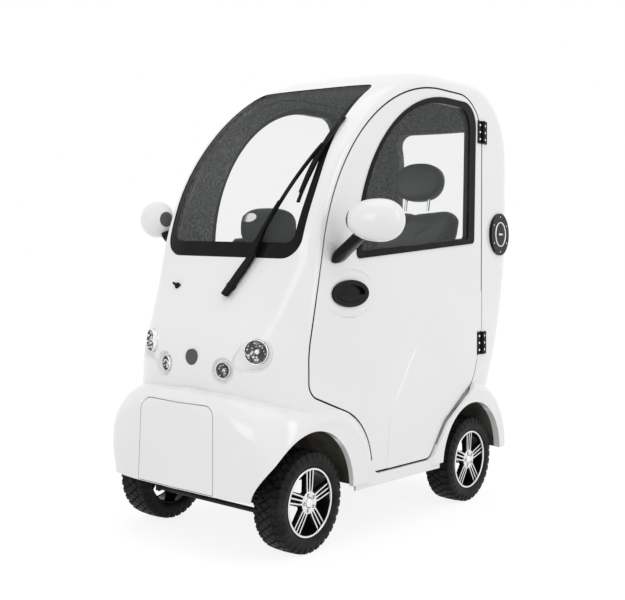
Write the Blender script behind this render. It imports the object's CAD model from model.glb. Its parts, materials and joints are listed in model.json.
import json
from math import acos, atan, atan2, cos, hypot, pi, radians, sin, sqrt, tan

import bmesh
import bpy
import numpy as np
from mathutils import Matrix, Vector


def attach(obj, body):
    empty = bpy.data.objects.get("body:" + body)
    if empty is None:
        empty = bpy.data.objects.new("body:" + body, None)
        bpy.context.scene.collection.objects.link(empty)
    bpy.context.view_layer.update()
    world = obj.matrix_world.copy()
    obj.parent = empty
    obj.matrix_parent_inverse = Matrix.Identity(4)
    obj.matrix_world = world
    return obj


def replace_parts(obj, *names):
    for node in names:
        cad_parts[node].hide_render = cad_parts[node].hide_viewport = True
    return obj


# Looks of the enclosed mobility scooter. Metres; the nose faces -Y, +X is the vehicle's left side.
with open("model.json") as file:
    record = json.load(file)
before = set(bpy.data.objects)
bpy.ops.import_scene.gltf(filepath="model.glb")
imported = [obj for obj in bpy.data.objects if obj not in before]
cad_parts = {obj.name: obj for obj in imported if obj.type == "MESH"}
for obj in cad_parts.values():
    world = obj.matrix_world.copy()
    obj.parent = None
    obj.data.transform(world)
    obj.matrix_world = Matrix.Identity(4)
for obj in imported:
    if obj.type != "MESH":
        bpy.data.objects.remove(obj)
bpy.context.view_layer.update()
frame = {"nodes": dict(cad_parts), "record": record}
NODES = frame["nodes"]
MM = 0.001
SIDES = (("left", 1), ("right", -1))

# Places that the CAD was drawn from, in millimetres from the front axle line
AXLE_Y = -567.5
WHEELBASE = 990
TRACK = 616
TYRE_R = 165
RIM_R = 112
HALF_W = 350
SIDE_TILT = 0.03
TILT_Z = 900

# The camera, solved from the wheels and the mirrored pairs of the photograph
IMAGE_W = 625
IMAGE_H = 600
CAMERA_AT = (2.3730, -3.1192, 0.9699)
CAMERA_YAW = 0.707
CAMERA_PITCH = -0.033
CAMERA_ROLL = 0.024
FOCAL_PX = 1035.37
CENTRE_PX = (275.98, 281.50)
SENSOR_MM = 36
CLIP = (0.05, 60)


def add_camera():
    """Camera at the photograph's angle, with a small shift for its framing."""
    data = bpy.data.cameras.new("camera")
    data.sensor_width = SENSOR_MM
    data.sensor_fit = "HORIZONTAL"
    data.lens = FOCAL_PX / IMAGE_W * SENSOR_MM
    data.shift_x = (IMAGE_W / 2 - CENTRE_PX[0]) / IMAGE_W
    data.shift_y = (CENTRE_PX[1] - IMAGE_H / 2) / IMAGE_W
    data.clip_start, data.clip_end = CLIP
    look = Vector((
        -sin(CAMERA_YAW) * cos(CAMERA_PITCH),
        cos(CAMERA_YAW) * cos(CAMERA_PITCH),
        sin(CAMERA_PITCH),
    ))
    level = Vector((cos(CAMERA_YAW), sin(CAMERA_YAW), 0))
    upright = level.cross(look)
    right = level * cos(CAMERA_ROLL) + upright * sin(CAMERA_ROLL)
    up = right.cross(look)
    turn = Matrix((right, up, -look)).transposed().to_4x4()
    camera = bpy.data.objects.new("camera", data)
    camera.matrix_world = Matrix.Translation(CAMERA_AT) @ turn
    bpy.context.scene.collection.objects.link(camera)
    bpy.context.scene.camera = camera


# Shader helpers
def shader(name, color, roughness, **sockets):
    """New material with a Principled shader; returns the material, its tree and the shader."""
    mat = bpy.data.materials.new(name)
    mat.use_nodes = True
    tree = mat.node_tree
    bsdf = tree.nodes["Principled BSDF"]
    bsdf.inputs["Base Color"].default_value = (*color, 1)
    bsdf.inputs["Roughness"].default_value = roughness
    for key, value in sockets.items():
        bsdf.inputs[key.replace("_", " ")].default_value = value
    return mat, tree, bsdf


def node(tree, kind, **values):
    """New node with its input sockets set by name; underscores stand for spaces."""
    made = tree.nodes.new(kind)
    for key, value in values.items():
        made.inputs[key.replace("_", " ")].default_value = value
    return made


def reckon(tree, operation, first, second):
    """Math node of a socket and of another socket or a number."""
    made = tree.nodes.new("ShaderNodeMath")
    made.operation = operation
    tree.links.new(first, made.inputs[0])
    if isinstance(second, bpy.types.NodeSocket):
        tree.links.new(second, made.inputs[1])
    else:
        made.inputs[1].default_value = second
    return made.outputs["Value"]


def vector_math(tree, operation, first):
    """Vector math node with its first input linked."""
    made = tree.nodes.new("ShaderNodeVectorMath")
    made.operation = operation
    tree.links.new(first, made.inputs[0])
    return made


def object_noise(tree, scale, detail=4.0, roughness=0.5):
    """Noise that sticks to the object's own coordinates."""
    place = tree.nodes.new("ShaderNodeTexCoord")
    noise = node(tree, "ShaderNodeTexNoise", Scale=scale, Detail=detail, Roughness=roughness)
    tree.links.new(place.outputs["Object"], noise.inputs["Vector"])
    return noise.outputs["Fac"]


def object_cells(tree, scale):
    """Distance from the middle of each cell, in the object's own coordinates."""
    place = tree.nodes.new("ShaderNodeTexCoord")
    cells = node(tree, "ShaderNodeTexVoronoi", Scale=scale)
    tree.links.new(place.outputs["Object"], cells.inputs["Vector"])
    return cells.outputs["Distance"]


def ramp(tree, source, low, high, color_low, color_high):
    """Two-colour ramp of a value."""
    made = tree.nodes.new("ShaderNodeValToRGB")
    made.color_ramp.elements[0].position = low
    made.color_ramp.elements[1].position = high
    made.color_ramp.elements[0].color = (*color_low, 1)
    made.color_ramp.elements[1].color = (*color_high, 1)
    tree.links.new(source, made.inputs["Fac"])
    return made.outputs["Color"]


def bump(tree, bsdf, height, strength, distance):
    """Bump from a height value."""
    made = node(tree, "ShaderNodeBump", Strength=strength, Distance=distance)
    tree.links.new(height, made.inputs["Height"])
    tree.links.new(made.outputs["Normal"], bsdf.inputs["Normal"])


def span(tree, source, low, high):
    """Value from 0..1 mapped to low..high."""
    made = node(tree, "ShaderNodeMapRange", To_Min=low, To_Max=high)
    tree.links.new(source, made.inputs["Value"])
    return made.outputs["Result"]


def vary_gloss(tree, bsdf, source, gloss, spread):
    """Roughness that follows a value, between two multiples of the plain one."""
    low, high = spread
    tree.links.new(span(tree, source, gloss * low, gloss * high), bsdf.inputs["Roughness"])


# Materials. Roughness is called gloss here; spreads are multiples of it.
BLACK_SPECULAR = 0.09
PATCH_EDGES = (0.32, 0.75)
GRAIN_SPREAD = (0.8, 1.3)
SMUDGE_SCALE = 6
SMUDGE_SPREAD = (0.5, 1.8)
TURNING_SCALE = 260
TURNING_SPREAD = (0.7, 1.5)
PAINT = (0.80, 0.80, 0.805)
PAINT_DARK = (0.775, 0.775, 0.785)
PAINT_GLOSS = 0.14
COAT = 0.5
COAT_GLOSS = 0.03
DRIFT_SCALE = 2.3
PEEL_SCALE = 160
FELT_DARK = (0.025, 0.025, 0.027)
FELT_LIGHT = (0.16, 0.16, 0.165)
FELT_GLOSS = 0.95
FELT_SCALE = 95
CAB_MIDDLE = (0, 0.06, 0.85)
LOOKS_IN = -0.12
BOWL_BRIGHT = (0.85, 0.85, 0.86)
BOWL_DARK = (0.03, 0.03, 0.032)
FACET_SCALE = 110
LEATHER_DARK = (0.016, 0.016, 0.017)
LEATHER_LIGHT = (0.036, 0.036, 0.038)
PEBBLE_SCALE = 520


def mottled(name, dark, light, gloss, grain=600, patch=12, depth=0.0004, strength=0.15):
    """Plain moulded or coated surface: patches of tone, fine grain in gloss and relief."""
    mat, tree, bsdf = shader(name, dark, gloss)
    bsdf.inputs["Specular IOR Level"].default_value = BLACK_SPECULAR
    patches = object_noise(tree, patch, 6)
    tree.links.new(ramp(tree, patches, *PATCH_EDGES, dark, light), bsdf.inputs["Base Color"])
    fine = object_noise(tree, grain, 2)
    vary_gloss(tree, bsdf, fine, gloss, GRAIN_SPREAD)
    bump(tree, bsdf, fine, strength, depth)
    return mat


def mask_inside(tree, middle):
    """1 where a face looks at a middle point of the cab, 0 on the outside."""
    place = tree.nodes.new("ShaderNodeTexCoord")
    offset = vector_math(tree, "SUBTRACT", place.outputs["Object"])
    offset.inputs[1].default_value = middle
    unit = vector_math(tree, "NORMALIZE", offset.outputs["Vector"])
    outward = vector_math(tree, "DOT_PRODUCT", unit.outputs["Vector"])
    tree.links.new(place.outputs["Normal"], outward.inputs[1])
    return reckon(tree, "LESS_THAN", outward.outputs["Value"], LOOKS_IN)


def paint(name, lined):
    """High-gloss white gelcoat, with grey felt on faces that look into the cab if lined."""
    mat, tree, bsdf = shader(name, PAINT, PAINT_GLOSS)
    bsdf.inputs["Coat Roughness"].default_value = COAT_GLOSS
    bsdf.inputs["Coat Weight"].default_value = COAT
    drift = object_noise(tree, DRIFT_SCALE, 2)
    tone = ramp(tree, drift, 0.3, 0.7, PAINT_DARK, PAINT)
    if not lined:
        tree.links.new(tone, bsdf.inputs["Base Color"])
        bump(tree, bsdf, object_noise(tree, PEEL_SCALE, 2), 0.03, 0.0004)
        return mat
    inside = mask_inside(tree, CAB_MIDDLE)
    speckle = object_noise(tree, FELT_SCALE, 6, 0.8)
    felt = ramp(tree, speckle, 0.44, 0.6, FELT_DARK, FELT_LIGHT)
    mix = tree.nodes.new("ShaderNodeMix")
    mix.data_type = "RGBA"
    tree.links.new(inside, mix.inputs[0])
    tree.links.new(tone, mix.inputs[6])
    tree.links.new(felt, mix.inputs[7])
    tree.links.new(mix.outputs[2], bsdf.inputs["Base Color"])
    tree.links.new(span(tree, inside, PAINT_GLOSS, FELT_GLOSS), bsdf.inputs["Roughness"])
    tree.links.new(span(tree, inside, COAT, 0.0), bsdf.inputs["Coat Weight"])
    bump(tree, bsdf, reckon(tree, "MULTIPLY", speckle, inside), 0.5, 0.002)
    return mat


def glass(name, alpha, tint, gloss=0.03):
    """Thin clear glazing with faint smudges in its gloss."""
    mat, tree, bsdf = shader(name, tint, gloss, Alpha=alpha)
    vary_gloss(tree, bsdf, object_noise(tree, SMUDGE_SCALE, 4), gloss, SMUDGE_SPREAD)
    mat.surface_render_method = "BLENDED"
    return mat


def metal(name, color, gloss):
    """Bright metal with fine turning marks."""
    mat, tree, bsdf = shader(name, color, gloss, Metallic=1.0)
    vary_gloss(tree, bsdf, object_noise(tree, TURNING_SCALE, 3), gloss, TURNING_SPREAD)
    return mat


def reflector():
    """Lamp reflector: bright metal broken by dark facets."""
    mat, tree, bsdf = shader("lamp_bowl", (0.5, 0.5, 0.5), 0.1, Metallic=1.0)
    facets = object_cells(tree, FACET_SCALE)
    tone = ramp(tree, facets, 0.25, 0.6, BOWL_BRIGHT, BOWL_DARK)
    tree.links.new(tone, bsdf.inputs["Base Color"])
    bump(tree, bsdf, facets, 0.6, 0.002)
    return mat


def leather():
    """Charcoal leatherette: pebble grain and soft wear tone."""
    mat, tree, bsdf = shader("leather_charcoal", (0.03, 0.03, 0.032), 0.5)
    wear = object_noise(tree, 7, 5)
    tone = ramp(tree, wear, 0.3, 0.75, LEATHER_DARK, LEATHER_LIGHT)
    tree.links.new(tone, bsdf.inputs["Base Color"])
    bump(tree, bsdf, object_cells(tree, PEBBLE_SCALE), 0.35, 0.0006)
    tree.links.new(span(tree, wear, 0.42, 0.6), bsdf.inputs["Roughness"])
    return mat


WHITE = paint("paint_white", False)
LINED = paint("paint_lined", True)
RUBBER = mottled("rubber_black", (0.002, 0.002, 0.0025), (0.009, 0.009, 0.0095), 0.35, 420)
PLASTIC = mottled("plastic_black", (0.006, 0.006, 0.0065), (0.013, 0.013, 0.014), 0.3, 900)
GLOSS_BLACK = mottled("gloss_black", (0.006, 0.006, 0.007), (0.01, 0.01, 0.011), 0.1, 300, depth=0.0001)
STEEL = mottled("steel_black", (0.014, 0.014, 0.015), (0.05, 0.047, 0.043), 0.5, 700)
TYRE = mottled("tyre_rubber", (0.008, 0.008, 0.008), (0.024, 0.0235, 0.0225), 0.42, 500, 22, 0.0006)
LINER = mottled("liner_brown", (0.045, 0.04, 0.032), (0.16, 0.148, 0.12), 0.6, 90, 9, 0.002, 0.25)
MATTING = mottled("floor_mat", (0.02, 0.02, 0.021), (0.04, 0.04, 0.042), 0.75, 500, 12, 0.001, 0.4)
EMBLEM = mottled("emblem_grey", (0.09, 0.09, 0.09), (0.11, 0.11, 0.11), 0.4)
ALLOY = metal("alloy", (0.78, 0.78, 0.79), 0.16)
CHROME = metal("chrome", (0.85, 0.85, 0.86), 0.06)
BOWL = reflector()
GLAZING = glass("glass_clear", 0.05, (0.5, 0.53, 0.53))
LENS = glass("lamp_lens", 0.06, (0.9, 0.92, 0.93))
RED_LENS = glass("tail_lens", 0.85, (0.5, 0.012, 0.012), 0.08)
LEATHER = leather()

CAD_MATERIALS = {
    "body_white": WHITE, "seal_black": RUBBER, "clear_glass": GLAZING, "black_plastic": PLASTIC,
    "frame_steel": STEEL, "polished_rim": GLOSS_BLACK, "tyre_black": TYRE, "seat_leather": LEATHER,
    "lamp_glass": LENS, "tail_red": RED_LENS, "liner_plastic": LINER, "emblem_grey": EMBLEM,
    "battery_case": PLASTIC, "floor_mat": MATTING,
}
LINED_NODES = ("cab_shell", "door_left", "door_right")
GLOSS_NODES = ("door_handle_left", "door_handle_right", "wiper", "round_cap")


def dress_cad():
    """Every carried-over CAD node gets the material of its slot."""
    slots = {row["node"]: row["material_slot"] for row in frame["record"]["subparts"]}
    for name, obj in NODES.items():
        chosen = CAD_MATERIALS[slots[name]]
        if name in LINED_NODES:
            chosen = LINED
        if name in GLOSS_NODES:
            chosen = GLOSS_BLACK
        obj.data.materials.clear()
        obj.data.materials.append(chosen)


# Mesh helpers. Profiles turned on an axis end at TIP, a radius in mm that stands for a point.
TIP = 0.01
BEVEL_ANGLE = radians(35)


def at(x, y, z):
    """Point of the drawing, in millimetres from the front axle line, in the frame's metres."""
    return Vector((x * MM, (y + AXLE_Y) * MM, z * MM))


def piece(name, verts, faces, material, body, smooth=True, slot=None):
    """Mesh object that rides on a body; verts are in metres in the frame."""
    mesh = bpy.data.meshes.new(name)
    mesh.from_pydata([tuple(v) for v in verts], [], faces)
    mesh.validate()
    bm = bmesh.new()
    bm.from_mesh(mesh)
    bmesh.ops.recalc_face_normals(bm, faces=bm.faces)
    bm.to_mesh(mesh)
    bm.free()
    mesh.materials.append(material)
    for polygon in mesh.polygons:
        polygon.use_smooth = smooth
    obj = bpy.data.objects.new(name, mesh)
    bpy.context.scene.collection.objects.link(obj)
    if body:
        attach(obj, body)
    return obj


def bevel(obj, width):
    """Rounded edges as a modifier; width in metres."""
    mod = obj.modifiers.new("bevel", "BEVEL")
    mod.width = width
    mod.segments = 2
    mod.limit_method = "ANGLE"
    mod.angle_limit = BEVEL_ANGLE
    return obj


def subdivide(obj, levels):
    """Smooth surface as a modifier."""
    mod = obj.modifiers.new("subdivision", "SUBSURF")
    mod.levels = levels
    mod.render_levels = levels
    return obj


def grid(rows, cols, wrap_rows=False, wrap_cols=True):
    """Faces of a grid of points, stored row by row, that may close on itself either way."""
    faces = []
    for i in range(rows if wrap_rows else rows - 1):
        j = (i + 1) % rows
        for k in range(cols if wrap_cols else cols - 1):
            m = (k + 1) % cols
            faces.append((i * cols + k, i * cols + m, j * cols + m, j * cols + k))
    return faces


def circle(count, start=0.0):
    """Even angles round a full turn; start is a share of one step."""
    return [2 * pi * (i + start) / count for i in range(count)]


def lathe(profile, steps, spot):
    """Verts and faces of a profile (along, radius) in mm turned about the local X of a matrix."""
    verts = [
        spot @ (Vector((along, radius * cos(turn), radius * sin(turn))) * MM)
        for turn in circle(steps) for along, radius in profile
    ]
    return verts, grid(steps, len(profile), wrap_rows=True, wrap_cols=False)


def gather(parts):
    """One set of verts and faces from several."""
    verts = []
    faces = []
    for more_verts, more_faces in parts:
        start = len(verts)
        verts += list(more_verts)
        faces += [tuple(start + k for k in face) for face in more_faces]
    return verts, faces


def prism(outline, spot, low, high):
    """Verts and faces of an outline (a, b) in mm in the local YZ plane, from low to high along X."""
    count = len(outline)
    verts = [spot @ (Vector((low, a, b)) * MM) for a, b in outline]
    verts += [spot @ (Vector((high, a, b)) * MM) for a, b in outline]
    faces = [tuple(range(count)), tuple(range(count, 2 * count))]
    faces += [(i, (i + 1) % count, (i + 1) % count + count, i + count) for i in range(count)]
    return verts, faces


def oval(half_a, half_b, steps):
    """Outline of an ellipse."""
    return [(half_a * cos(a), half_b * sin(a)) for a in np.linspace(0, 2 * pi, steps, endpoint=False)]


def facing(origin, out, up=(0, 0, 1)):
    """Matrix at an origin whose X looks along out and whose Z is about up."""
    x = Vector(out).normalized()
    y = Vector(up).cross(x).normalized()
    z = x.cross(y)
    return Matrix.Translation(origin) @ Matrix((x, y, z)).transposed().to_4x4()


def ring_seats(spot, count, radius):
    """Matrices on a ring about the local X of a matrix, half a step on; radius in mm."""
    for angle in circle(count, 0.5):
        yield spot @ Matrix.Translation(Vector((0, radius * cos(angle), radius * sin(angle))) * MM)


def tube(points, radius, material, name, body):
    """Round bar along points in metres, as a curve."""
    data = bpy.data.curves.new(name, "CURVE")
    data.dimensions = "3D"
    data.bevel_depth = radius
    data.bevel_resolution = 3
    data.use_fill_caps = True
    spline = data.splines.new("POLY")
    spline.points.add(len(points) - 1)
    for target, point in zip(spline.points, points):
        target.co = (*point, 1)
    data.materials.append(material)
    obj = bpy.data.objects.new(name, data)
    bpy.context.scene.collection.objects.link(obj)
    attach(obj, body)
    return obj


# The cab's form, as in the drawing
FRONT_WALL = (-188, 216, 2.6)
CROWN = (-11, 73, 3.6)
SCREEN_CENTRE = (787, 812)
SCREEN_R = 817
SCREEN_BASE_Z = 932
FRONT_TURN_Z = 560
FRONT_TURN_R = 350
COWL_PITCH = radians(18)


def side_x(z, inset=0):
    """Half width of the flat side of the cab at a height."""
    return (HALF_W - inset) * (1 + SIDE_TILT / HALF_W * (TILT_Z - z))


def graded(row, share):
    """Superellipse value at a share of the half width."""
    middle, fall, roundness = row
    return middle + fall * (1 - (1 - min(share, 1) ** roundness) ** (1 / roundness))


def front_y(x, z, inset=0):
    """Place of the cab's front at a point across and up, moved inwards by inset."""
    share = abs(x) / side_x(z, inset)
    front = graded(FRONT_WALL, share) + inset
    cy, cz = SCREEN_CENTRE
    r = SCREEN_R - graded(CROWN, share) - inset
    if z >= SCREEN_BASE_Z:
        return cy - sqrt(max(r * r - (z - cz) ** 2, 0))
    base_y = cy - sqrt(r * r - (SCREEN_BASE_Z - cz) ** 2)
    turn_y = front + FRONT_TURN_R
    leg = (base_y - turn_y, SCREEN_BASE_Z - FRONT_TURN_Z)
    angle = atan2(leg[1], -leg[0]) - acos(FRONT_TURN_R / hypot(*leg))
    end = (turn_y - FRONT_TURN_R * cos(angle), FRONT_TURN_Z + FRONT_TURN_R * sin(angle))
    if z >= end[1]:
        return end[0] + (base_y - end[0]) * (z - end[1]) / (SCREEN_BASE_Z - end[1])
    if z >= FRONT_TURN_Z:
        return turn_y - sqrt(FRONT_TURN_R ** 2 - (z - FRONT_TURN_Z) ** 2)
    return front


def on_cowl(point):
    """Matrix on the sloping cowl below the screen; X looks out of it."""
    return facing(at(*point), (0, -cos(COWL_PITCH), sin(COWL_PITCH)))


def sampled(points, step):
    """Points along a closed outline of corners (a, b, radius) with round corners."""
    line = []
    count = len(points)
    for i, (a, b, r) in enumerate(points):
        pa, pb, _ = points[i - 1]
        na, nb, _ = points[(i + 1) % count]
        d1 = hypot(pa - a, pb - b)
        d2 = hypot(na - a, nb - b)
        u1 = Vector(((pa - a) / d1, (pb - b) / d1))
        u2 = Vector(((na - a) / d2, (nb - b) / d2))
        half = acos(max(-1, min(1, u1.dot(u2)))) / 2
        reach = r / tan(half)
        centre = Vector((a, b)) + (u1 + u2).normalized() * (r / sin(half))
        start = Vector((a, b)) + u1 * reach - centre
        end = Vector((a, b)) + u2 * reach - centre
        first = atan2(start.y, start.x)
        sweep = (atan2(end.y, end.x) - first + pi) % (2 * pi) - pi
        arcs = max(2, int(abs(sweep) * r / step))
        for k in range(arcs + 1):
            turn = first + sweep * k / arcs
            line.append((centre.x + r * cos(turn), centre.y + r * sin(turn)))
    return line


def resample(line, step):
    """Closed line with points at even spacing."""
    pts = np.array([tuple(p) for p in line] + [tuple(line[0])])
    run = np.concatenate([[0], np.cumsum(np.hypot(*np.diff(pts, axis=0).T))])
    marks = np.linspace(0, run[-1], int(run[-1] / step), endpoint=False)
    return np.column_stack([np.interp(marks, run, pts[:, 0]), np.interp(marks, run, pts[:, 1])])


def inwards(line, amount):
    """Closed line moved towards its inside; amount may differ from point to point."""
    ahead = np.roll(line, -1, axis=0) - np.roll(line, 1, axis=0)
    normal = np.column_stack([-ahead[:, 1], ahead[:, 0]]) / np.hypot(*ahead.T)[:, None]
    a, b = line.T
    turning = np.sum(a * np.roll(b, -1) - b * np.roll(a, -1))
    return line + normal * np.sign(turning) * np.asarray(amount).reshape(-1, 1)


# Windscreen border: black print on the glass, wide below, narrow above
SCREEN = [
    (-300, 934, 70), (300, 934, 70), (306, 1180, 900),
    (262, 1548, 30), (-262, 1548, 30), (-306, 1180, 900),
]
PRINT_INSET = 2.4
PRINT_WIDTHS = ((934, 50), (1010, 30), (1250, 22), (1500, 14), (1548, 6))
PRINT_STRIPS = 4


def add_screen_border():
    """Black border strip just proud of the windscreen."""
    line = resample(sampled(SCREEN, step=6), step=8)
    width = np.interp(line[:, 1], *zip(*PRINT_WIDTHS))
    rows = [inwards(line, 1 + width * k / PRINT_STRIPS) for k in range(PRINT_STRIPS + 1)]
    verts = [at(x, front_y(x, z, PRINT_INSET), z) for row in rows for x, z in row]
    faces = grid(len(rows), len(line))
    piece("windscreen_border", verts, faces, GLOSS_BLACK, "chassis", slot="black_plastic")


# Door seal in the gap between door and cab
DOOR_REAR = WHEELBASE + 62
DOOR = [
    (-22, 507, 55), (305, 390, 220), (318, 215, 28), (DOOR_REAR - 380, 215, 55),
    (DOOR_REAR - 277, 340, 120), (DOOR_REAR - 67, 470, 120), (DOOR_REAR, 640, 300),
    (DOOR_REAR, 1566, 170), (165, 1566, 715), (-22, 640, 400),
]
SEAL_HALF = 2.7
SEAL_DEPTH = (1.5, 16)
SEAL_CORNERS = ((-SEAL_HALF, 1), (-SEAL_HALF, 0), (SEAL_HALF, 0), (SEAL_HALF, 1), (-SEAL_HALF, 1))
PROBE_INSET = 7
PROBE_FROM_X = 700


def skin_x(obj, y, z):
    """Outer face of a node at a place on the vehicle's left side, in millimetres."""
    hit, where, _, _ = obj.ray_cast(at(PROBE_FROM_X, y, z), Vector((-1, 0, 0)))
    return where.x / MM if hit else side_x(z)


def add_door_seals():
    """Black rubber strip along the door gap, on both sides."""
    line = resample(sampled(DOOR, step=6), step=9)
    depth = np.array([skin_x(NODES["door_left"], y, z) for y, z in inwards(line, PROBE_INSET)])
    rows = [(inwards(line, shift), depth - SEAL_DEPTH[low]) for shift, low in SEAL_CORNERS]
    faces = grid(len(rows), len(line))
    for side, sign in SIDES:
        verts = [at(sign * x, y, z) for flat, xs in rows for (y, z), x in zip(flat, xs)]
        piece("door_seal_" + side, verts, faces, RUBBER, "chassis", slot="seal_black")


# Tyres with road tread. Widths are shares of the tread's half width, pitches are shares of a lug.
LUGS = 34
LUG_STEPS = 12
LUG_H = 7.5
TREAD_HALF = 47.5
TREAD_POINTS = 49
CROWN_DROP = 2.5
LUG_SHIFT = 0.25
LUG_SHARE = 0.62
SHOULDER_FROM = 0.66
SLIT_FROM = 0.78
SLIT_HALF = 0.05
MIDDLE_TO = 0.58
GROOVE_SLANT = 1.15
GROOVE_SHARE = 0.17
EDGE_CUT = 0.6
FLANK = [
    (50.5, 158), (53, 153), (54.6, 147), (55.4, 139), (55, 130), (53.4, 122), (51, 116),
    (48, RIM_R + 0.5),
]
FLANK_LUG_R = 145
FLANK_CUT = (3, 4)


def lug_phase(turn, across):
    """Place in the pitch of the shoulder lugs, which alternate between the two sides."""
    return (turn + (LUG_SHIFT if across > 0 else -LUG_SHIFT)) % 1


def tread_height(turn, across):
    """1 on a lug and 0 in a groove; turn counts lugs, across runs from -1 to 1."""
    wide = abs(across)
    phase = lug_phase(turn, across)
    shoulder = wide > SHOULDER_FROM and phase < LUG_SHARE
    slit = abs(phase - LUG_SHARE / 2) < SLIT_HALF and wide > SLIT_FROM
    rising = (turn + GROOVE_SLANT * across) % 1
    falling = (turn - GROOVE_SLANT * across) % 1
    middle = wide < MIDDLE_TO and rising > GROOVE_SHARE and falling > GROOVE_SHARE
    return 1.0 if (shoulder and not slit) or middle else 0.0


def tyre_mesh():
    """Verts (along the axle, y, z in mm about the hub) and faces of one tyre."""
    widths = np.linspace(-TREAD_HALF, TREAD_HALF, TREAD_POINTS)
    crown = [(w, TYRE_R - CROWN_DROP * (w / TREAD_HALF) ** 2) for w in widths]
    profile = [(-a, r) for a, r in reversed(FLANK)] + crown + FLANK
    verts = []
    total = LUGS * LUG_STEPS
    for step, angle in enumerate(circle(total)):
        turn = step / LUG_STEPS
        for w, r in profile:
            if abs(w) <= TREAD_HALF:
                cut = 1 - tread_height(turn, w / TREAD_HALF)
                r = r - LUG_H * cut * (1 if abs(w) < TREAD_HALF - 0.1 else EDGE_CUT)
            elif r > FLANK_LUG_R and lug_phase(turn, w) >= LUG_SHARE:
                w = w - (FLANK_CUT[0] if w > 0 else -FLANK_CUT[0])
                r = r - FLANK_CUT[1]
            verts.append((w, r * cos(angle), r * sin(angle)))
    return verts, grid(total, len(profile), wrap_rows=True)


def wheel_spots():
    """Name, body and hub matrix of each wheel; X of the matrix looks outwards."""
    for end, axle in (("front", 0), ("rear", WHEELBASE)):
        for side, sign in SIDES:
            name = end + "_" + side
            yield name, "wheel_" + name, facing(at(sign * TRACK / 2, axle, TYRE_R), (sign, 0, 0))


def add_tyres():
    """Treaded tyres in place of the plain ones."""
    verts, faces = tyre_mesh()
    for name, body, spot in wheel_spots():
        placed = [spot @ (Vector(v) * MM) for v in verts]
        tyre = piece("tread_" + name, placed, faces, TYRE, body, slot="tyre_black")
        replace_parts(tyre, "tyre_" + name)


# Rims: machined face on the black casting. Profiles are (along, radius), bars (out, across, half).
FACE_X = 44
SPOKES = 5
LIP = [(49, 103.5), (51.5, 104), (52.5, 106), (52.5, 109), (51, 111), (47, 111.5), (47, 103.5), (49, 103.5)]
HUB_PLATE = [(0, 17), (2.5, 17.5), (3, 19), (3, 34.5), (1.6, 36), (0, 36)]
BAR_STATIONS = ((31, 10.5, 3.2), (52, 13.4, 2.3), (106, 16.2, 2.6))
BAR_DEPTH = (0.2, 2.6)
NUT_RING_R = 25.5
NUT_HOLE = [(47.2, TIP), (47.3, 5.6), (47.0, 5.8)]
NUT = [(49.2, TIP), (49.0, 2.6), (48.4, 3.2), (47.2, 3.2)]
HUB_CAP = [(44, TIP), (53, 2 * TIP), (52.6, 8), (50.5, 13), (47, 15.5), (44, 16)]


def rim_face():
    """Machined bars, hub plate and lip, in metres about the hub with X outwards."""
    unit = Matrix.Identity(4)
    parts = [lathe(LIP, 96, unit), lathe([(FACE_X + a, r) for a, r in HUB_PLATE], 60, unit)]
    low, high = [FACE_X + depth for depth in BAR_DEPTH]
    for angle in circle(SPOKES):
        turn = Matrix.Rotation(angle, 4, "X")
        for k in (-1, 0, 1):
            outline = [(k * across - half, out) for out, across, half in BAR_STATIONS]
            outline += [(k * across + half, out) for out, across, half in reversed(BAR_STATIONS)]
            parts.append(prism(outline, turn, low, high))
    return gather(parts)


def add_rims():
    """Machined faces, nuts and centre caps on all four wheels."""
    verts, faces = rim_face()
    for name, body, spot in wheel_spots():
        placed = [spot @ v for v in verts]
        bevel(piece("rim_face_" + name, placed, faces, ALLOY, body, slot="polished_rim"), width=0.0006)
        piece("hub_cap_" + name, *lathe(HUB_CAP, 36, spot), CHROME, body, slot="polished_rim")
        seats = list(ring_seats(spot, SPOKES, NUT_RING_R))
        holes = gather(lathe(NUT_HOLE, 20, seat) for seat in seats)
        nuts = gather(lathe(NUT, 6, seat) for seat in seats)
        piece("nut_holes_" + name, *holes, GLOSS_BLACK, body, slot="frame_steel")
        piece("wheel_nuts_" + name, *nuts, CHROME, body, smooth=False, slot="polished_rim")


# Front lamps: chrome bowl, bulb and clear lens. Columns: x, y, z, radius, yaw.
LAMPS = ((240, -143, 642, 40, 24), (129, -174, 577, 26, 14))
BOWL_RINGS = ((2.5, 0.97), (0, 0.93), (-3, 0.9), (-9, 0.78), (-16, 0.55), (-19, 0.3))
BOWL_STEPS = 64
FLUTE = 0.6
FLUTED_TO = 0.92
ARC_STEPS = 8


def lamp_bowl(r, spot):
    """Fluted reflector bowl that opens along X."""
    verts = []
    for i, turn in enumerate(circle(BOWL_STEPS)):
        for depth, share in BOWL_RINGS:
            flute = FLUTE * (1 if i % 4 < 2 else -1) if share < FLUTED_TO else 0
            point = Vector((depth + flute, r * share * cos(turn), r * share * sin(turn)))
            verts.append(spot @ (point * MM))
    return verts, grid(BOWL_STEPS, len(BOWL_RINGS), wrap_rows=True, wrap_cols=False)


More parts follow.
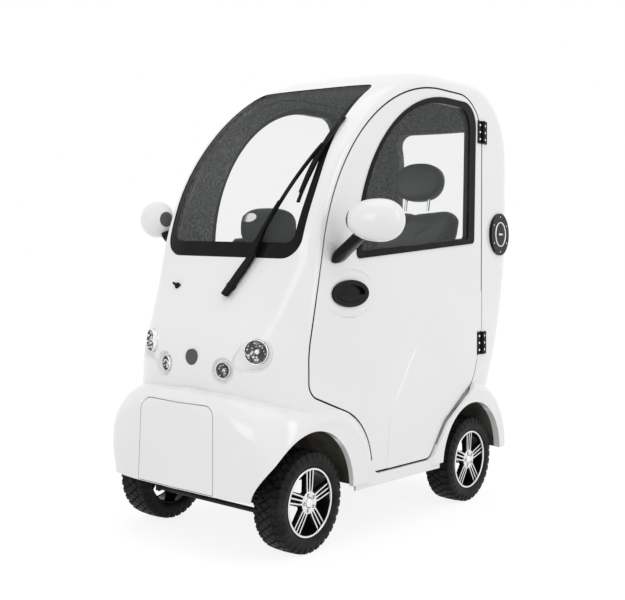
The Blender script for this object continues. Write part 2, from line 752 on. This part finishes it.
def add_front_lamps():
    """Round lamps let into the front wall, in place of the plain ones."""
    bowls = []
    backs = []
    bulbs = []
    lenses = []
    arc = [pi / 2 * k / ARC_STEPS for k in range(ARC_STEPS + 1)]
    for x, y, z, r, yaw in LAMPS:
        back = [(-14, TIP), (-14.5, r * 0.32), (-19, r * 0.34), (-19, r * 0.6)]
        dome = [(3.9 * cos(a) - 0.3, r * 0.985 * sin(a) + TIP) for a in arc]
        bulb = [(-13 + 9 * sin(a), r * 0.26 * cos(a) + TIP) for a in arc]
        ring = [(-18, r * 0.97), (3.2, r * 0.99), (4, r * 0.95), (2.5, r * 0.92)]
        for sign in (1, -1):
            spot = facing(at(sign * x, y, z), (sign * sin(radians(yaw)), -cos(radians(yaw)), 0))
            bowls.append(lamp_bowl(r, spot))
            backs.append(lathe(back, 32, spot))
            lenses.append(lathe(dome, 48, spot))
            bulbs.append(lathe(bulb, 24, spot))
            bulbs.append(lathe(ring, 64, spot))
    lens = piece("lamp_lenses", *gather(lenses), LENS, "chassis", slot="lamp_glass")
    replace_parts(lens, "front_lamps")
    piece("lamp_bowls", *gather(bowls), BOWL, "chassis", slot="polished_rim")
    piece("lamp_sockets", *gather(backs), GLOSS_BLACK, "chassis", slot="black_plastic")
    piece("lamp_bulbs", *gather(bulbs), CHROME, "chassis", slot="polished_rim")


# Hinge bolts: two columns of three on each hinge
HINGE_Z = (616, 1437)
BOLT_STEP = 27
BOLT_Y = 19
LEAF_FACE = 4
BOLT = [(2.6, TIP), (2.3, 2.4), (1.2, 4.3), (-0.3, 4.8)]


def add_hinge_bolts():
    """Bright domed bolts on both leaves of every hinge."""
    tilt = atan(SIDE_TILT)
    for side, sign in SIDES:
        for body, leaf, part in (("door_" + side, -1, "_door"), ("chassis", 1, "_body")):
            bolts = []
            for z in HINGE_Z:
                for k in (-1, 0, 1):
                    up = z + k * BOLT_STEP
                    origin = at(sign * (side_x(up) + LEAF_FACE), DOOR_REAR + leaf * BOLT_Y, up)
                    bolts.append(lathe(BOLT, 16, facing(origin, (sign * cos(tilt), 0, sin(tilt)))))
            piece("hinge_bolts_" + side + part, *gather(bolts), CHROME, body, slot="polished_rim")


# Round cap: ring, bar and screws
CAP = (WHEELBASE + 206, 1043)
CAP_YAW = radians(5)
CAP_RING = [(6, 45), (8, 45.5), (9, 47.5), (8, 49.5), (6, 50)]
CAP_BAR = [(-18, -3.5), (18, -3.5), (18, 3.5), (-18, 3.5)]
CAP_BAR_DEPTH = (5.5, 9)
SCREW = [(7.2, TIP), (7.0, 2.2), (6, 3)]
SCREWS = 6
SCREW_RING_R = 70


def add_round_cap():
    """Silver ring, plain bar and screws on the round cap."""
    tilt = atan(SIDE_TILT)
    out = (cos(tilt) * cos(CAP_YAW), sin(CAP_YAW), sin(tilt))
    spot = facing(at(side_x(CAP[1]) - 1, *CAP), out)
    parts = [lathe(CAP_RING, 72, spot), prism(CAP_BAR, spot, *CAP_BAR_DEPTH)]
    parts += [lathe(SCREW, 12, seat) for seat in ring_seats(spot, SCREWS, SCREW_RING_R)]
    piece("cap_ring", *gather(parts), ALLOY, "chassis", slot="polished_rim")


# Wiper: broad lower arm and a rubber blade with its holder. Spans are (share, half width).
WIPER_PIVOT = (80, -80, 836)
WIPER_TOP = (276, 125, 1312)
ARM_SPANS = ((-0.05, 15), (0.1, 17), (0.32, 12), (0.42, 6), (0.6, 3))
ARM_DEPTH = (8.5, 23)
BLADE = ((262, 18, 1118), (285, 215, 1407))
BLADE_SPANS = ((-0.01, 5.5), (1.01, 5.5))
BLADE_DEPTH = (4, 10)
HOLDER_SPANS = ((0.1, 6.5), (0.5, 8), (0.9, 6.5))
HOLDER_DEPTH = (10, 15)
BAR_MARKS = 28
BAR_TOP = 0.8
KNOB = [(0, 15), (14, 15), (22, 14), (25, 11), (26, TIP)]


def ribbon_bar(name, start, end, spans, depth, material):
    """Bar with a changing half width along the cab's front, between two heights over it."""
    verts = []
    low, high = depth
    across = Vector((end[2] - start[2], 0, start[0] - end[0])).normalized()
    for t in np.linspace(spans[0][0], spans[-1][0], BAR_MARKS):
        half = np.interp(t, *zip(*spans))
        for shift, lift in ((-half, low), (-half * BAR_TOP, high), (half * BAR_TOP, high), (half, low)):
            x = start[0] + (end[0] - start[0]) * t + across.x * shift
            z = start[2] + (end[2] - start[2]) * t + across.z * shift
            verts.append(at(x, front_y(x, z, -lift), z))
    faces = grid(BAR_MARKS, 4)
    faces += [(0, 1, 2, 3), tuple(4 * (BAR_MARKS - 1) + k for k in range(4))]
    bar = piece(name, verts, faces, material, "chassis", smooth=False, slot="black_plastic")
    return bevel(bar, width=0.0012)


def add_wiper():
    """Lower arm, blade holder and pivot cap over the plain wiper."""
    ribbon_bar("wiper_arm", WIPER_PIVOT, WIPER_TOP, ARM_SPANS, ARM_DEPTH, GLOSS_BLACK)
    ribbon_bar("wiper_blade", *BLADE, BLADE_SPANS, BLADE_DEPTH, RUBBER)
    ribbon_bar("wiper_holder", *BLADE, HOLDER_SPANS, HOLDER_DEPTH, GLOSS_BLACK)
    knob = lathe(KNOB, 32, on_cowl(WIPER_PIVOT))
    piece("wiper_pivot", *knob, GLOSS_BLACK, "chassis", slot="black_plastic")


# Washer nozzle: button with two jets
NOZZLE_AT = (-180, -77, 830)
BUTTON = [(0, 11), (6, 11), (9, 9), (10, 5), (10, TIP)]
JETS = [(-22, 5), (-8, -2), (12, -4), (16, 4), (2, 6), (-20, 12)]
JETS_DEPTH = (3, 11)


def add_washer():
    """Button and its two jets, over the plain nozzle."""
    spot = on_cowl(NOZZLE_AT)
    parts = [lathe(BUTTON, 24, spot), prism(JETS, spot, *JETS_DEPTH)]
    jets = piece("washer_jets", *gather(parts), GLOSS_BLACK, "chassis", slot="black_plastic")
    bevel(jets, width=0.001)


# Seat: padded cushion, back and headrest; their places are read from the plain ones.
# Sizes of voxels and caps are in metres, seams in millimetres from the middle of the pad.
CLOTH_PRESSURE = 4
CLOTH_QUALITY = 4
CLOTH_FRAMES = 20
PAD_SHRINK = 0.975
SHOULDER_Z = 1.0
SHOULDER_FALL = 6
FABRIC_ROOM = 1.06
SEAT_VOXEL = 0.006
SEAT_SWELL = 0.022
HEAD_VOXEL = 0.005
HEAD_SWELL = 0.012
SEAM_WIDTH = 7
SEEN_FACE = 0.3
CUSHION_SEAM_X = 140
CUSHION_CROSS_Y = 60
BACK_SEAM_X = 118
BACK_SEAM_SPREAD = 0.03
VEE_Z = 150
VEE_SLOPE = 0.6
VEE_FROM_X = 40
PIPING_AT = 0.55
PIPING_WIDTH = 0.12


def bounds_of(name):
    """Low and high corner of a CAD node, in the frame."""
    pts = np.array([tuple(v.co) for v in NODES[name].data.vertices])
    return Vector(pts.min(axis=0)), Vector(pts.max(axis=0))


def apply_modifiers(obj):
    """Bakes an object's modifiers into its mesh."""
    bpy.context.view_layer.update()
    graph = bpy.context.evaluated_depsgraph_get()
    made = bpy.data.meshes.new_from_object(obj.evaluated_get(graph))
    obj.modifiers.clear()
    obj.data = made


def inflate(obj, voxel, cap):
    """Remesh, swell with cloth pressure and keep every point within cap of its start."""
    mod = obj.modifiers.new("remesh", "REMESH")
    mod.mode = "VOXEL"
    mod.voxel_size = voxel
    mod.use_smooth_shade = True
    apply_modifiers(obj)
    start = np.empty(len(obj.data.vertices) * 3)
    obj.data.vertices.foreach_get("co", start)
    cloth = obj.modifiers.new("cloth", "CLOTH")
    cloth.settings.use_pressure = True
    cloth.settings.uniform_pressure_force = CLOTH_PRESSURE
    cloth.settings.effector_weights.gravity = 0
    cloth.settings.quality = CLOTH_QUALITY
    for step in range(1, CLOTH_FRAMES + 1):
        bpy.context.scene.frame_set(step)
    apply_modifiers(obj)
    bpy.context.scene.frame_set(1)
    moved = np.empty(len(start))
    obj.data.vertices.foreach_get("co", moved)
    delta = (moved - start).reshape(-1, 3)
    size = np.linalg.norm(delta, axis=1, keepdims=True)
    delta *= np.minimum(1, cap / np.maximum(size, 1e-9))
    obj.data.vertices.foreach_set("co", (start.reshape(-1, 3) + delta).ravel())
    obj.data.update()


def add_pad(name, source, voxel, cap, seams, start=None):
    """Padded piece from a plain one or a given start, a little smaller, swollen, then sewn."""
    low, high = bounds_of(source)
    middle = (low + high) / 2
    if start:
        obj = piece(name, *start, LEATHER, None)
    else:
        obj = bpy.data.objects.new(name, NODES[source].data.copy())
        bpy.context.scene.collection.objects.link(obj)
    for vertex in obj.data.vertices:
        vertex.co = middle + (vertex.co - middle) * PAD_SHRINK
        if not start:
            vertex.co.x *= 1 - SHOULDER_FALL * max(vertex.co.z - SHOULDER_Z, 0) ** 2
    inflate(obj, voxel, cap)
    half = (high - low) / 2
    lines = [(v, seams((v.co - middle) / MM, v.normal)) for v in obj.data.vertices]
    for vertex, pull in lines:
        vertex.co -= vertex.normal * pull * MM
        offset = vertex.co - middle
        vertex.co = middle + Vector([max(-h, min(h, o)) for h, o in zip(half * FABRIC_ROOM, offset)])
    obj.data.update()
    obj.data.materials.clear()
    obj.data.materials.append(LEATHER)
    for polygon in obj.data.polygons:
        polygon.use_smooth = True
    subdivide(obj, levels=1)
    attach(obj, "chassis")
    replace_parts(obj, source)


def groove(distance, depth, width=SEAM_WIDTH):
    """Depth of a sewn groove at a distance from its line."""
    return depth * np.exp(-(distance / width) ** 2)


def cushion_seams(place, normal):
    """Side seams and a cross seam on the top of the cushion."""
    if normal.z < SEEN_FACE:
        return 0
    side = groove(abs(place.x) - CUSHION_SEAM_X, 7)
    cross = groove(place.y - CUSHION_CROSS_Y, 6) if abs(place.x) < CUSHION_SEAM_X else 0
    return float(max(side, cross))


def back_seams(place, normal):
    """Bolster seams and a V below the shoulders on the front of the back."""
    if normal.y > -SEEN_FACE:
        return 0
    x = abs(place.x)
    side = groove(x - BACK_SEAM_X - BACK_SEAM_SPREAD * place.z, 10)
    vee = groove((place.z - VEE_Z) - VEE_SLOPE * x, 8) if VEE_FROM_X < x < BACK_SEAM_X else 0
    return float(max(side, vee))


def head_seams(_, normal):
    """Piped edge round the headrest's front, where its faces turn aside."""
    return float(groove(abs(normal.y) - PIPING_AT, 4, PIPING_WIDTH))


# Headrest: oval disc on two posts above the back. Powers round the outline and the side.
BACK_FOOT = (0, 1045, 553)
BACK_LEAN = radians(8)
HEAD_MIDDLE = (0, -0.008, 0.707)
HEAD_HALF = (116, 48, 82)
HEAD_POWERS = (2.3, 3.2)
POST_X = 0.055
POST_Z = (0.585, 0.655)
POST_R = 0.006


def signed_power(value, power):
    """Value raised to a power with its sign kept."""
    return np.sign(value) * abs(value) ** power


def rounded(half, powers, place, rows=20, cols=48):
    """Verts and faces of a rounded form with its axis along Y; half sizes in mm."""
    ring_power, side_power = [2 / power for power in powers]
    verts = []
    for i in range(rows + 1):
        lift = -pi / 2 + pi * i / rows
        ring = signed_power(cos(lift), side_power)
        y = half[1] * signed_power(sin(lift), side_power)
        for turn in circle(cols):
            x = half[0] * ring * signed_power(cos(turn), ring_power)
            z = half[2] * ring * signed_power(sin(turn), ring_power)
            verts.append(place @ (Vector((x, y, z)) * MM))
    return verts, grid(rows + 1, cols)


def add_seat():
    """Cushion, back and headrest as padded pieces, and the headrest's posts."""
    back = Matrix.Translation(at(*BACK_FOOT)) @ Matrix.Rotation(-BACK_LEAN, 4, "X")
    head = rounded(HEAD_HALF, HEAD_POWERS, back @ Matrix.Translation(HEAD_MIDDLE))
    add_pad("seat_cushion_pad", "seat_cushion", SEAT_VOXEL, SEAT_SWELL, cushion_seams)
    add_pad("seat_back_pad", "seat_back", SEAT_VOXEL, SEAT_SWELL, back_seams)
    add_pad("headrest_pad", "headrest", HEAD_VOXEL, HEAD_SWELL, head_seams, head)
    for side, sign in SIDES:
        ends = [back @ Vector((sign * POST_X, HEAD_MIDDLE[1], z)) for z in POST_Z]
        tube(ends, POST_R, CHROME, "headrest_post_" + side, "chassis")


# Mirrors: egg-shaped cap on a black wedge, with a grey neck of a few rows between them
MIRROR_AT = (496, 119, 1063)
MIRROR_SWEEP = radians(24)
MIRROR_HALF = 94
MIRROR_TALL = 68
MIRROR_DEEP = 60
MIRROR_FACE = 33
EGG_ROWS = 22
EGG_COLS = 36
EGG_POWER = 2.3
EGG_GROWTH = 0.1
NECK_ROWS = 3
NECK_SWELL = 1.015
WEDGE_FOOT = [(76, 927), (88, 912), (150, 918), (176, 936), (166, 956), (96, 966)]
WEDGE_TOP = (455, 119, 1024)
WEDGE_STEPS = 6
WEDGE_SINK = 4
WEDGE_GROWTH = (-0.3, 0.1)
GLASS_HALF = (72, 50)
GLASS_SHARE = (0.94, 0.93)
RIM_DEPTH = (-2, 1.2)
GLASS_DEPTH = (0.5, 1.8)


def egg(spot, sign, last=EGG_ROWS, swell=1.0):
    """Verts and faces of the mirror's cap up to a row, larger at the outer end and flat at the back."""
    verts = []
    for i in range(last + 1):
        along = -cos(pi * i / EGG_ROWS) * swell
        girth = sqrt(max(1 - abs(along / swell) ** EGG_POWER, 0)) * (1 + EGG_GROWTH * along) * swell
        for turn in circle(EGG_COLS):
            y = min(MIRROR_DEEP * girth * cos(turn), MIRROR_FACE)
            z = MIRROR_TALL * girth * sin(turn)
            verts.append(spot @ (Vector((sign * along * MIRROR_HALF, y, z)) * MM))
    return verts, grid(last + 1, EGG_COLS)


def wedge(sign):
    """Verts and faces of the wedge from the door skin up to the cap."""
    mid_y, mid_z = np.mean(np.array(WEDGE_FOOT), axis=0)
    grow_y, grow_z = WEDGE_GROWTH
    verts = []
    for k in range(WEDGE_STEPS + 1):
        t = k / WEDGE_STEPS
        for y, z in WEDGE_FOOT:
            foot_x = side_x(z) - WEDGE_SINK
            yy = mid_y + (WEDGE_TOP[1] - mid_y) * t + (y - mid_y) * (1 + grow_y * t)
            zz = mid_z + (WEDGE_TOP[2] - mid_z) * t + (z - mid_z) * (1 + grow_z * t)
            verts.append(at(sign * (foot_x + (WEDGE_TOP[0] - foot_x) * t), yy, zz))
    count = len(WEDGE_FOOT)
    faces = grid(WEDGE_STEPS + 1, count)
    faces += [tuple(range(count)), tuple(range(WEDGE_STEPS * count, (WEDGE_STEPS + 1) * count))]
    return verts, faces


def add_mirrors():
    """Caps, necks, wedges, rims and glasses of both door mirrors."""
    outline = oval(*GLASS_HALF, 48)
    inner = [(a * GLASS_SHARE[0], b * GLASS_SHARE[1]) for a, b in outline]
    for side, sign in SIDES:
        door = "door_" + side
        turn = Matrix.Rotation(sign * MIRROR_SWEEP, 4, "Z")
        spot = Matrix.Translation(at(sign * MIRROR_AT[0], *MIRROR_AT[1:])) @ turn
        cap = piece("mirror_cap_" + side, *egg(spot, sign), WHITE, door, slot="body_white")
        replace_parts(cap, "mirror_" + side)
        neck = egg(spot, sign, NECK_ROWS, NECK_SWELL)
        piece("mirror_neck_" + side, *neck, EMBLEM, door, slot="black_plastic")
        arm = piece("mirror_wedge_" + side, *wedge(sign), GLOSS_BLACK, door, slot="black_plastic")
        subdivide(arm, levels=2)
        flat = Matrix.Translation(Vector((0, MIRROR_FACE, 0)) * MM) @ Matrix.Rotation(pi / 2, 4, "Z")
        rim = prism(outline, spot @ flat, *RIM_DEPTH)
        bevel(piece("mirror_rim_" + side, *rim, PLASTIC, door, slot="black_plastic"), width=0.0008)
        face = prism(inner, spot @ flat, *GLASS_DEPTH)
        bevel(piece("mirror_glass_" + side, *face, CHROME, door, slot="polished_rim"), width=0.0003)


# Console: domed hood with a bare oval badge, grip sleeves and levers
POD_MIDDLE = (0, 177, 1037)
POD_HALF = (111, 58.5, 69)
POD_POWERS = (2.8, 2.5)
BADGE_AT = (-42, 125, 1071)
BADGE_OUT = (-0.14, -0.93, 0.33)
BADGE_HALF = (38, 17)
BADGE_DEPTH = (-4, 2)
GRIP_ENDS = ((126, 227, 985), (221, 255.5, 979.5))
GRIP_RIBS = 9
RIB_STEP = 9
RIB = ((6, 18.6), (10, 19.4), (13, 18.2))
LEVER = ((116, 205, 980), (150, 194, 972), (200, 205, 968))
LEVER_R = 0.005


def grip_profile(length):
    """Ribbed sleeve (along, radius) with a rounded end, in mm."""
    grip = [(0, 15), (2, 19)]
    for k in range(GRIP_RIBS):
        grip += [(along + k * RIB_STEP, radius) for along, radius in RIB]
    return grip + [(length - 4, 20), (length, 18), (length + 2, 9), (length + 2, TIP)]


def add_console():
    """Hood, bare badge, grip sleeves and levers on the tiller."""
    hood = rounded(POD_HALF, POD_POWERS, Matrix.Translation(at(*POD_MIDDLE)))
    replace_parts(piece("console_hood", *hood, PLASTIC, "tiller", slot="black_plastic"), "console_pod")
    badge = prism(oval(*BADGE_HALF, 40), facing(at(*BADGE_AT), BADGE_OUT), *BADGE_DEPTH)
    bevel(piece("console_badge", *badge, ALLOY, "tiller", slot="polished_rim"), width=0.001)
    for side, sign in SIDES:
        inner, end = [at(sign * x, y, z) for x, y, z in GRIP_ENDS]
        sleeve = lathe(grip_profile((end - inner).length / MM), 28, facing(inner, end - inner))
        piece("grip_" + side, *sleeve, RUBBER, "tiller", slot="black_plastic")
        lever = [at(sign * x, y, z) for x, y, z in LEVER]
        tube(lever, LEVER_R, PLASTIC, "lever_" + side, "tiller")


# Stage: pale floor, white backdrop, soft studio light. Lamps: name, place, aim, size, watts.
FLOOR_SIZE = 60
FLOOR_TONE = (0.86, 0.86, 0.86)
FLOOR_GLOW = 0.8
FLOOR_LEVEL = 1.09
WORLD_LIGHT = 0.92
AREA_LAMPS = (
    ("top_light", (0.5, -0.3, 4.2), (0, 0, 0.6), (3.0, 3.0), 14),
    ("left_light", (3.6, 0.6, 2.2), (0, 0, 0.8), (0.9, 2.6), 14),
    ("front_light", (0.4, -4.2, 2.0), (0, 0, 0.8), (1.6, 1.8), 12),
)


def seen_rays(tree):
    """1 for camera, glossy and transmission rays, 0 for the light itself."""
    path = tree.nodes.new("ShaderNodeLightPath")
    total = path.outputs["Is Camera Ray"]
    for kind in ("Is Glossy Ray", "Is Transmission Ray"):
        total = reckon(tree, "MAXIMUM", total, path.outputs[kind])
    return total


def add_stage():
    """Floor that keeps a soft shadow and shows white elsewhere."""
    bpy.ops.mesh.primitive_plane_add(size=FLOOR_SIZE, location=(0, 0, 0))
    floor = bpy.context.object
    floor.name = "floor"
    mat, tree, bsdf = shader("floor", FLOOR_TONE, 0.7)
    glow = node(tree, "ShaderNodeEmission", Strength=FLOOR_LEVEL, Color=(1, 1, 1, 1))
    mix = tree.nodes.new("ShaderNodeMixShader")
    tree.links.new(reckon(tree, "MULTIPLY", seen_rays(tree), FLOOR_GLOW), mix.inputs["Fac"])
    tree.links.new(bsdf.outputs[0], mix.inputs[1])
    tree.links.new(glow.outputs[0], mix.inputs[2])
    tree.links.new(mix.outputs[0], tree.nodes["Material Output"].inputs["Surface"])
    floor.data.materials.append(mat)


def add_world():
    """White surroundings for the camera and through glass, softer as light."""
    world = bpy.data.worlds.new("world")
    bpy.context.scene.world = world
    world.use_nodes = True
    tree = world.node_tree
    back = tree.nodes["Background"]
    tree.links.new(span(tree, seen_rays(tree), WORLD_LIGHT, 1.0), back.inputs["Strength"])
    back.inputs["Color"].default_value = (1, 1, 1, 1)


def add_lamp(name, spot, aim, size, power):
    """Soft area lamp that looks at a point."""
    data = bpy.data.lights.new(name, "AREA")
    data.shape = "RECTANGLE"
    data.size, data.size_y = size
    data.energy = power
    lamp = bpy.data.objects.new(name, data)
    lamp.location = spot
    lamp.rotation_euler = (Vector(aim) - Vector(spot)).to_track_quat("-Z", "Y").to_euler()
    bpy.context.scene.collection.objects.link(lamp)


add_camera()
add_stage()
add_world()
for row in AREA_LAMPS:
    add_lamp(*row)
dress_cad()
add_screen_border()
add_door_seals()
add_tyres()
add_rims()
add_front_lamps()
add_hinge_bolts()
add_round_cap()
add_wiper()
add_washer()
add_mirrors()
add_console()
add_seat()
bpy.context.scene.view_settings.view_transform = "Standard"
